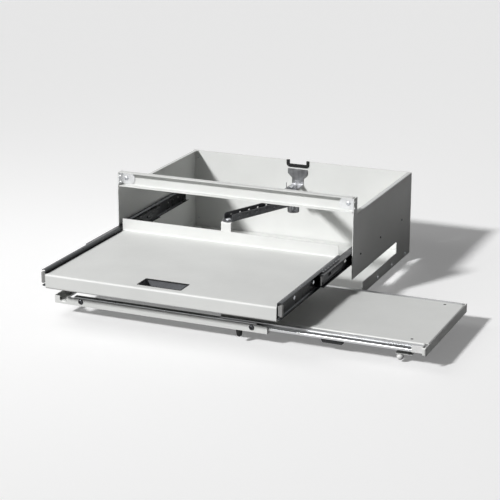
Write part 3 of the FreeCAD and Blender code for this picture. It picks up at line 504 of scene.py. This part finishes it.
def makeFrontStop(name, node, side):
    low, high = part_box(node)
    look = {key: value * mm for key, value in frontStop.items()}
    web, outer = (low.x, high.x) if side > 0 else (high.x, low.x)
    inner = outer - side * look["width"]
    edit = bmesh.new()
    left, right = sorted((inner, outer))
    softBlock(edit, (left, low.y, low.z), (right, high.y, high.z), look["radius"], look["edge"])
    left, right = sorted((web, inner))
    softBlock(edit, (left, low.y + look["setback"], low.z + look["footInset"]),
              (right, high.y, high.z - look["footInset"]), look["footEdge"], look["footEdge"])
    addPiece(name, closeMesh(edit, [greyPlastic]), "drawer", [node])


# Rail end tab: a white tab clipped over the front end of each middle rail's web, on the wall's side; the
# white is a painted highlight for the light that the rail's metal end catches
highlightTab = {"web": 1.6, "width": 1.7, "reach": 1.0, "length": 2.5, "height": 18.0, "radius": 0.6,
              "edge": 0.4}


def makeHighlightTabs():
    edit = bmesh.new()
    look = {key: value * mm for key, value in highlightTab.items()}
    for node, side in (("left_middle_rail", -1), ("right_middle_rail", 1)):
        low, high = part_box(node)
        middle = (low + high) / 2
        start = middle.x + side * look["web"] / 2
        left, right = sorted((start, start + side * look["width"]))
        half = look["height"] / 2
        softBlock(edit, (left, low.y - look["reach"], middle.z - half),
                  (right, low.y + look["length"], middle.z + half), look["radius"], look["edge"])
    addPiece("middleRailHighlightTabs", closeMesh(edit, [whitePlastic]), "middle_rails", [])


makeSlideCap("frontSlideCapMoulding", "front_slide_cap", -1)
makeSlideCap("rearSlideCapMoulding", "rear_slide_cap", 1)
makeFrontStop("leftStopMoulding", "left_front_stop", -1)
makeFrontStop("rightStopMoulding", "right_front_stop", 1)
makeHighlightTabs()


# a node tree's named inputs: the mesh to build on, the sizes, a fixed seed and the finish
def startTree(name, sizes):
    tree = bpy.data.node_groups.new(name, "GeometryNodeTree")
    tree.interface.new_socket("Geometry", in_out="INPUT", socket_type="NodeSocketGeometry")
    tree.interface.new_socket("Geometry", in_out="OUTPUT", socket_type="NodeSocketGeometry")
    for label in sizes:
        kind = "NodeSocketInt" if label.endswith("Count") or label == "seed" else "NodeSocketFloat"
        tree.interface.new_socket(label, in_out="INPUT", socket_type=kind)
    tree.interface.new_socket("finish", in_out="INPUT", socket_type="NodeSocketMaterial")
    return tree, addNode(tree, "NodeGroupInput").outputs


# every tree ends alike: real geometry in its finish
def endTree(tree, given, instances):
    solid = addNode(tree, "GeometryNodeRealizeInstances", {"Geometry": instances})
    dressed = addNode(tree, "GeometryNodeSetMaterial", {
        "Geometry": solid.outputs["Geometry"], "Material": given["finish"]})
    addNode(tree, "NodeGroupOutput", {"Geometry": dressed.outputs["Geometry"]})
    return tree


# points with one named vector each, for a tree to build on
def pointMesh(points, label, vectors):
    mesh = bpy.data.meshes.new(label + "Points")
    mesh.from_pydata(points, [], [])
    attribute = mesh.attributes.new(label, "FLOAT_VECTOR", "POINT")
    for i, vector in enumerate(vectors):
        attribute.data[i].vector = vector
    return mesh


# what the tree makes of a mesh, as a plain mesh; sizes are in millimetres, counts and seeds whole numbers
def bakeTree(tree, mesh, sizes):
    holder = bpy.data.objects.new(tree.name + "Holder", mesh)
    bpy.context.collection.objects.link(holder)
    modifier = holder.modifiers.new(tree.name, "NODES")
    modifier.node_group = tree
    for socket in tree.interface.items_tree:
        if socket.in_out == "INPUT" and socket.name in sizes:
            value = sizes[socket.name]
            modifier[socket.identifier] = value * mm if isinstance(value, float) else value
    bpy.context.view_layer.update()
    solid = bpy.data.meshes.new_from_object(holder.evaluated_get(bpy.context.evaluated_depsgraph_get()))
    bpy.data.objects.remove(holder)
    bpy.data.meshes.remove(mesh)
    return solid


# Middle rails: a row of round holes through the web, measured from its rear end to the farthest hole
middleRail = {"farthestHole": 75.0, "holePitch": 28.0, "holeCount": 2, "holeRadius": 2.4, "holeDepth": 40.0,
              "seed": 1, "finish": slideZinc}


def railTree():
    tree, given = startTree("punchedRail", (
        "firstPlace", "holePitch", "holeCount", "holeRadius", "holeDepth", "seed", "railPlace",
        "railHeight"))
    start = addNode(tree, "ShaderNodeCombineXYZ", {
        "X": given["railPlace"], "Y": given["firstPlace"], "Z": given["railHeight"]})
    step = addNode(tree, "ShaderNodeCombineXYZ", {"Y": given["holePitch"]})
    row = addNode(tree, "GeometryNodeMeshLine", {
        "Count": given["holeCount"], "Start Location": start.outputs["Vector"],
        "Offset": step.outputs["Vector"]})
    punch = addNode(tree, "GeometryNodeMeshCylinder", {
        "Vertices": holeSides, "Radius": given["holeRadius"], "Depth": given["holeDepth"]})
    across = addNode(tree, "GeometryNodeTransform", {
        "Geometry": punch.outputs["Mesh"], "Rotation": (0.0, math.pi / 2, 0.0)})
    along = addNode(tree, "GeometryNodeInstanceOnPoints", {
        "Points": row.outputs["Mesh"], "Instance": across.outputs["Geometry"]})
    tools = addNode(tree, "GeometryNodeRealizeInstances", {"Geometry": along.outputs["Instances"]})
    cut = addNode(tree, "GeometryNodeMeshBoolean", {
        "Mesh 1": given["Geometry"], "Mesh 2": tools.outputs["Geometry"]},
        operation="DIFFERENCE", solver="EXACT")
    return endTree(tree, given, cut.outputs["Mesh"])


# merged copies of one body's rails, punched one by one and joined
def makePunchedRails(name, body, nodes, look):
    tree = railTree()
    whole = bmesh.new()
    for node in nodes:
        copy = mergedCopy(node)
        mesh = bpy.data.meshes.new(node + "Copy")
        copy.to_mesh(mesh)
        copy.free()
        low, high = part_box(node)
        middle = (low + high) / 2
        solid = bakeTree(tree, mesh, dict(look, firstPlace=high.y / mm - look["farthestHole"],
                                          railPlace=middle.x / mm, railHeight=middle.z / mm))
        whole.from_mesh(solid)
        bpy.data.meshes.remove(solid)
    addPiece(name, closeMesh(whole, [look["finish"]]), body, nodes)


# Ball cage: a strip with a round hole for each ball and a window beside it in the edge that shows
ballCage = {"stripLength": 88.0, "stripWidth": 5.4, "stripReach": 3.1, "stripSheet": 0.8, "ballPitch": 14.0,
            "ballHole": 1.85, "ballCount": 6, "windowWidth": 2.2, "windowLength": 7.0, "seed": 1,
            "finish": cageZinc}


def cageTree():
    tree, given = startTree("perforatedCage", [key for key in ballCage if key != "finish"])
    wide = addNode(tree, "ShaderNodeMath", {0: given["stripWidth"], 1: given["stripReach"]}, operation="ADD")
    size = addNode(tree, "ShaderNodeCombineXYZ", {
        "X": wide.outputs["Value"], "Y": given["stripLength"], "Z": given["stripSheet"]})
    shift = addNode(tree, "ShaderNodeMath", {0: given["stripReach"], 1: 0.5}, operation="MULTIPLY")
    outward = addNode(tree, "ShaderNodeCombineXYZ", {"X": shift.outputs["Value"]})
    strip = addNode(tree, "GeometryNodeMeshCube", {"Size": size.outputs["Vector"]})
    strip = addNode(tree, "GeometryNodeTransform", {
        "Geometry": strip.outputs["Mesh"], "Translation": outward.outputs["Vector"]})

    # holes and windows stand on one row of points at the ball pitch
    gaps = addNode(tree, "ShaderNodeMath", {0: given["ballCount"], 1: 1.0}, operation="SUBTRACT")
    span = addNode(tree, "ShaderNodeMath", {0: gaps.outputs["Value"], 1: given["ballPitch"]},
                   operation="MULTIPLY")
    back = addNode(tree, "ShaderNodeMath", {0: span.outputs["Value"], 1: -0.5}, operation="MULTIPLY")
    start = addNode(tree, "ShaderNodeCombineXYZ", {"Y": back.outputs["Value"]})
    step = addNode(tree, "ShaderNodeCombineXYZ", {"Y": given["ballPitch"]})
    row = addNode(tree, "GeometryNodeMeshLine", {
        "Count": given["ballCount"], "Start Location": start.outputs["Vector"],
        "Offset": step.outputs["Vector"]})
    deep = addNode(tree, "ShaderNodeMath", {0: given["stripSheet"], 1: 3.0}, operation="MULTIPLY")
    hole = addNode(tree, "GeometryNodeMeshCylinder", {
        "Vertices": holeSides, "Radius": given["ballHole"], "Depth": deep.outputs["Value"]})
    size = addNode(tree, "ShaderNodeCombineXYZ", {
        "X": given["windowWidth"], "Y": given["windowLength"], "Z": deep.outputs["Value"]})
    window = addNode(tree, "GeometryNodeMeshCube", {"Size": size.outputs["Vector"]})
    edge = addNode(tree, "ShaderNodeMath", {0: given["stripWidth"], 1: 0.5, 2: shift.outputs["Value"]},
                   operation="MULTIPLY_ADD")
    aside = addNode(tree, "ShaderNodeCombineXYZ", {"X": edge.outputs["Value"]})
    window = addNode(tree, "GeometryNodeTransform", {
        "Geometry": window.outputs["Mesh"], "Translation": aside.outputs["Vector"]})
    tools = []
    for tool in (hole.outputs["Mesh"], window.outputs["Geometry"]):
        along = addNode(tree, "GeometryNodeInstanceOnPoints", {
            "Points": row.outputs["Mesh"], "Instance": tool})
        cutters = addNode(tree, "GeometryNodeRealizeInstances", {"Geometry": along.outputs["Instances"]})
        tools.append(cutters.outputs["Geometry"])
    cut = addNode(tree, "GeometryNodeMeshBoolean", {"Mesh 1": strip.outputs["Geometry"], "Mesh 2": tools},
                  operation="DIFFERENCE", solver="EXACT")

    # every strip is turned so that its windows face the gap between the rails
    turn = addNode(tree, "GeometryNodeInputNamedAttribute", {"Name": "turn"}, data_type="FLOAT_VECTOR")
    placed = addNode(tree, "GeometryNodeInstanceOnPoints", {
        "Points": given["Geometry"], "Instance": cut.outputs["Mesh"], "Rotation": turn.outputs["Attribute"]})
    return endTree(tree, given, placed.outputs["Instances"])


# strips of both sides, over and under the middle rails, with their windows away from the tray
def makeCages(name, body, nodes, look):
    points = []
    turns = []
    for node in nodes:
        low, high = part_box(node)
        middle = (low + high) / 2
        half = look["stripSheet"] * mm / 2
        for height in (low.z + half, high.z - half):
            points.append((middle.x, middle.y, height))
            turns.append((0, 0, math.pi if middle.x < 0 else 0))
    solid = bakeTree(cageTree(), pointMesh(points, "turn", turns), look)
    addPiece(name, solid, body, nodes)


makePunchedRails("middleRailsPunched", "middle_rails", ["left_middle_rail", "right_middle_rail"], middleRail)
makeCages("frontBallCages", "front_cages", ["left_front_cage", "right_front_cage"], ballCage)

rimShare = 0.95  # points farther out than this share of the head's radius are its rim


# seat point and outward direction of each fastener in a CAD node, found from its separate solids
def fastenerSeats(node, head):
    copy = mergedCopy(node)
    waiting = set(copy.verts)
    seats = []
    while waiting:
        grow = [waiting.pop()]
        points = []
        while grow:
            vert = grow.pop()
            points.append(vert.co.copy())
            near = {edge.other_vert(vert) for edge in vert.link_edges} & waiting
            waiting -= near
            grow.extend(near)
        low = Vector([min(p[i] for p in points) for i in range(3)])
        high = Vector([max(p[i] for p in points) for i in range(3)])
        size = high - low
        middle = (low + high) / 2
        radius = head["headRadius"] * mm
        axis = max(range(3), key=lambda i: abs(size[i] - 2 * radius))
        across = [i for i in range(3) if i != axis]
        rim = [p for p in points
               if math.dist([p[i] for i in across], [middle[i] for i in across]) > rimShare * radius]
        way = 1 if sum(p[axis] for p in rim) / len(rim) > middle[axis] else -1
        aim = Vector([way if i == axis else 0 for i in range(3)])
        seat = middle.copy()
        seat[axis] = (high if way > 0 else low)[axis] - way * head["headHeight"] * mm
        seats.append((seat, aim))
    copy.free()
    return seats


fastenerSides = {"head": 40, "domeRings": 28, "pit": 16, "shank": 20}


# one fastener: a domed head with a cross recess and a round pit, on a plain shank, set on every point
def fastenerTree():
    tree, given = startTree("domedFastener", (
        "headRadius", "headHeight", "domeRadius", "shankRadius", "shankLength", "crossLength", "crossWidth",
        "crossDepth", "pitRadius", "pitDepth", "seed"))

    # dome: a large ball cut by the head's cylinder
    drop = addNode(tree, "ShaderNodeMath", {0: given["headHeight"], 1: given["domeRadius"]},
                   operation="SUBTRACT")
    ballPlace = addNode(tree, "ShaderNodeCombineXYZ", {"Z": drop.outputs["Value"]})
    ball = addNode(tree, "GeometryNodeMeshUVSphere", {
        "Segments": fastenerSides["head"], "Rings": fastenerSides["domeRings"],
        "Radius": given["domeRadius"]})
    ball = addNode(tree, "GeometryNodeTransform", {
        "Geometry": ball.outputs["Mesh"], "Translation": ballPlace.outputs["Vector"]})
    disc = addNode(tree, "GeometryNodeMeshCylinder", {
        "Vertices": fastenerSides["head"], "Radius": given["headRadius"], "Depth": given["headHeight"]})
    half = addNode(tree, "ShaderNodeMath", {0: given["headHeight"], 1: 0.5}, operation="MULTIPLY")
    discPlace = addNode(tree, "ShaderNodeCombineXYZ", {"Z": half.outputs["Value"]})
    disc = addNode(tree, "GeometryNodeTransform", {
        "Geometry": disc.outputs["Mesh"], "Translation": discPlace.outputs["Vector"]})
    head = addNode(tree, "GeometryNodeMeshBoolean", {
        "Mesh 2": [ball.outputs["Geometry"], disc.outputs["Geometry"]]},
        operation="INTERSECT", solver="EXACT")

    # recess: two crossed bars and a round pit, sunk into the crown
    top = addNode(tree, "ShaderNodeCombineXYZ", {"Z": given["headHeight"]})
    deep = addNode(tree, "ShaderNodeMath", {0: given["crossDepth"], 1: 2.0}, operation="MULTIPLY")
    tools = []
    for x, y in (("crossLength", "crossWidth"), ("crossWidth", "crossLength")):
        size = addNode(tree, "ShaderNodeCombineXYZ", {
            "X": given[x], "Y": given[y], "Z": deep.outputs["Value"]})
        bar = addNode(tree, "GeometryNodeMeshCube", {"Size": size.outputs["Vector"]})
        tools.append(bar.outputs["Mesh"])
    deep = addNode(tree, "ShaderNodeMath", {0: given["pitDepth"], 1: 2.0}, operation="MULTIPLY")
    pit = addNode(tree, "GeometryNodeMeshCylinder", {
        "Vertices": fastenerSides["pit"], "Radius": given["pitRadius"], "Depth": deep.outputs["Value"]})
    tools.append(pit.outputs["Mesh"])
    tools = [addNode(tree, "GeometryNodeTransform", {"Geometry": tool, "Translation": top.outputs["Vector"]})
             .outputs["Geometry"] for tool in tools]
    head = addNode(tree, "GeometryNodeMeshBoolean", {"Mesh 1": head.outputs["Mesh"], "Mesh 2": tools},
                   operation="DIFFERENCE", solver="EXACT")

    # shank under the head
    shank = addNode(tree, "GeometryNodeMeshCylinder", {
        "Vertices": fastenerSides["shank"], "Radius": given["shankRadius"], "Depth": given["shankLength"]})
    sink = addNode(tree, "ShaderNodeMath", {0: given["shankLength"], 1: -0.5}, operation="MULTIPLY")
    shankPlace = addNode(tree, "ShaderNodeCombineXYZ", {"Z": sink.outputs["Value"]})
    shank = addNode(tree, "GeometryNodeTransform", {
        "Geometry": shank.outputs["Mesh"], "Translation": shankPlace.outputs["Vector"]})
    whole = addNode(tree, "GeometryNodeJoinGeometry", {
        "Geometry": [head.outputs["Mesh"], shank.outputs["Geometry"]]})

    # every fastener stands on its point, along its aim, turned as the driver left it
    aim = addNode(tree, "GeometryNodeInputNamedAttribute", {"Name": "aim"}, data_type="FLOAT_VECTOR")
    upright = addNode(tree, "FunctionNodeAlignRotationToVector", {"Vector": aim.outputs["Attribute"]},
                      axis="Z")
    angle = addNode(tree, "FunctionNodeRandomValue", {2: 0.0, 3: math.tau, 8: given["seed"]},
                    data_type="FLOAT")
    turn = addNode(tree, "FunctionNodeAxisAngleToRotation", {
        "Axis": (0.0, 0.0, 1.0), "Angle": angle.outputs[1]})
    driven = addNode(tree, "FunctionNodeRotateRotation", {
        "Rotation": upright.outputs["Rotation"], "Rotate By": turn.outputs["Rotation"]},
        rotation_space="LOCAL")
    placed = addNode(tree, "GeometryNodeInstanceOnPoints", {
        "Points": given["Geometry"], "Instance": whole.outputs["Geometry"],
        "Rotation": driven.outputs["Rotation"]})
    return endTree(tree, given, placed.outputs["Instances"])


domedFastener = fastenerTree()


# fasteners of one size on one body as a plain mesh; the crown's height sets the dome's radius
def bakeFasteners(seats, look):
    crown = look["crownShare"] * look["headHeight"]
    sizes = dict(look, domeRadius=(look["headRadius"] ** 2 + crown ** 2) / (2 * crown))
    points = pointMesh([seat for seat, aim in seats], "aim", [aim for seat, aim in seats])
    return bakeTree(domedFastener, points, sizes)


# fasteners in the place of their CAD nodes
def setFasteners(name, body, nodes, look):
    seats = [seat for node in nodes for seat in fastenerSeats(node, look)]
    addPiece(name, bakeFasteners(seats, look), body, nodes)


# black plugs that close the two holes near the mouse plate's free end: painted shade for the dark seen
# through the holes
def setShadePlugs(name, body, plate, look):
    low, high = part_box(plate)
    up = Vector((0, 0, 1))
    seats = [(Vector((high.x - look["plugInset"] * mm, y, high.z)), up)
             for y in (low.y + look["plugEdge"] * mm, high.y - look["plugEdge"] * mm)]
    addPiece(name, bakeFasteners(seats, look), body, [])


panScrew = {"headRadius": 4.2, "headHeight": 2.2, "crownShare": 0.6, "shankRadius": 2.0, "shankLength": 4.2,
            "crossLength": 4.4, "crossWidth": 0.9, "crossDepth": 1.2, "pitRadius": 0.9, "pitDepth": 1.5,
            "seed": 3, "finish": screwZinc}
cabinetScrew = dict(panScrew, seed=4, finish=screwBlack)
runnerScrew = dict(panScrew, headRadius=5.0, headHeight=3.2, shankLength=4.0, crossLength=5.4,
                   crossWidth=1.1, crossDepth=1.6, pitRadius=1.1, pitDepth=2.0, seed=8, finish=screwBlack)
# the pit of a blind rivet is the hole that its broken mandrel leaves
blindRivet = dict(panScrew, headRadius=3.2, headHeight=1.2, shankRadius=1.6, shankLength=3.0,
                  crossLength=0.8, crossWidth=0.4, crossDepth=0.3, pitRadius=0.9, pitDepth=0.7, seed=5)
# black plugs in the plate's holes: painted shade in place of the dark seen through them
holeShadePlug = dict(panScrew, headRadius=2.6, headHeight=0.6, shankRadius=1.9, shankLength=3.0, crossLength=1.0,
                 crossWidth=0.4, crossDepth=0.1, pitRadius=0.6, pitDepth=0.2, seed=2, finish=blockPlastic,
                 plugInset=35.0, plugEdge=30.0)
setFasteners("housingScrews", "housing", ["rail_screws"], panScrew)
setFasteners("cabinetScrews", "housing", ["cabinet_rail_screws"], cabinetScrew)
setFasteners("housingRivets", "housing", ["housing_rivets"], blindRivet)
setFasteners("trayScrews", "drawer", ["drawer_rail_screws"], panScrew)
setFasteners("carrierScrews", "drawer", ["runner_screws"], runnerScrew)
setShadePlugs("mousePlateHoleShades", "mouse_tray", "mouse_plate", holeShadePlug)

# Stage: pale floor under the housing, a soft key from the front left, a weak low front fill, a panel over
# the tray's left side and an even sky; places and sizes in metres
stage = {"floorSize": 40.0, "floorDrop": 0.0005, "floorColour": "#f4f4f4", "floorBounce": "#505050",
         "floorGlow": 0.2, "floorRoughness": 0.9, "floorSheen": 0.1,
         "keyStrength": 3.45, "keyFrom": (-0.6, -1.1, 0.84), "keySpread": 6.0,
         "fillPower": 0.8, "fillPlace": (-0.6, -2.2, 0.3), "fillAim": (0.05, -0.4, 0.08), "fillSize": 0.9,
         "topPower": 3.5, "topPlace": (-0.75, -0.5, 1.1), "topAim": (-0.15, -0.35, 0.1), "topSize": 0.8,
         "skyStrength": 0.03}
floorMesh = bpy.data.meshes.new("floor")
half = stage["floorSize"] / 2
corners = [(-half, -half, 0), (half, -half, 0), (half, half, 0), (-half, half, 0)]
floorMesh.from_pydata(corners, [], [(0, 1, 2, 3)])
floor = bpy.data.objects.new("floor", floorMesh)
floor.location.z = cadBox[0].z - stage["floorDrop"]
bpy.context.collection.objects.link(floor)


# 1 where the eye, a reflection or a clear surface looks at the thing itself, 0 where its light bounces on
def seenDirectly(tree):
    path = addNode(tree, "ShaderNodeLightPath").outputs
    seen = addNode(tree, "ShaderNodeMath", {0: path["Is Camera Ray"], 1: path["Is Glossy Ray"]},
                   operation="MAXIMUM")
    seen = addNode(tree, "ShaderNodeMath", {0: seen.outputs["Value"], 1: path["Is Transmission Ray"]},
                   operation="MAXIMUM")
    return seen.outputs["Value"]


# Matte paper: pale to the eye, greyer in what it throws back on the object
floorPaper, tree, shader, coords = startMaterial("mattePaperFloor")
seen = seenDirectly(tree)
tone = addNode(tree, "ShaderNodeMix", {
    "Factor": seen, 6: paint(stage["floorBounce"]), 7: paint(stage["floorColour"])}, data_type="RGBA")
tree.links.new(tone.outputs[2], shader.inputs["Base Color"])
glow = addNode(tree, "ShaderNodeMath", {0: seen, 1: stage["floorGlow"]}, operation="MULTIPLY")
tree.links.new(glow.outputs["Value"], shader.inputs["Emission Strength"])
shader.inputs["Emission Color"].default_value = paint("#ffffff")
shader.inputs["Roughness"].default_value = stage["floorRoughness"]
shader.inputs["Specular IOR Level"].default_value = stage["floorSheen"]
floorMesh.materials.append(floorPaper)

keyLamp = bpy.data.lights.new("softKey", "SUN")
keyLamp.energy = stage["keyStrength"]
keyLamp.angle = math.radians(stage["keySpread"])
key = bpy.data.objects.new("softKey", keyLamp)
key.rotation_euler = Vector(stage["keyFrom"]).to_track_quat("Z", "Y").to_euler()
bpy.context.collection.objects.link(key)

for label in ("fill", "top"):
    lamp = bpy.data.lights.new(label + "Panel", "AREA")
    lamp.energy = stage[label + "Power"]
    lamp.size = stage[label + "Size"]
    panel = bpy.data.objects.new(label + "Panel", lamp)
    panel.location = stage[label + "Place"]
    panel.rotation_euler = (panel.location - Vector(stage[label + "Aim"])).to_track_quat("Z", "Y").to_euler()
    panel.visible_camera = False
    bpy.context.collection.objects.link(panel)

sky = bpy.data.worlds.new("evenSky")
sky.use_nodes = True
tree = sky.node_tree
level = addNode(tree, "ShaderNodeMapRange", {
    "Value": seenDirectly(tree), "To Min": stage["skyStrength"], "To Max": 1.0})
tree.links.new(level.outputs["Result"], tree.nodes["Background"].inputs["Strength"])
tree.nodes["Background"].inputs["Color"].default_value = paint("#ffffff")
bpy.context.scene.world = sky

# Camera: right of the drawer and above it, with a long lens; place in metres, turns in degrees, lens in mm
cameraView = {"place": (1.25926, -3.00554, 1.04666), "turn": 23.387, "down": 17.412, "lens": 116.387,
              "sensor": 36.0}
cameraData = bpy.data.cameras.new("camera")
cameraData.lens = cameraView["lens"]
cameraData.sensor_width = cameraView["sensor"]
camera = bpy.data.objects.new("camera", cameraData)
camera.location = cameraView["place"]
camera.rotation_euler = (math.radians(90 - cameraView["down"]), 0, math.radians(cameraView["turn"]))
bpy.context.collection.objects.link(camera)
bpy.context.scene.camera = camera
bpy.context.scene.view_settings.view_transform = "Standard"
print("stage and camera set")
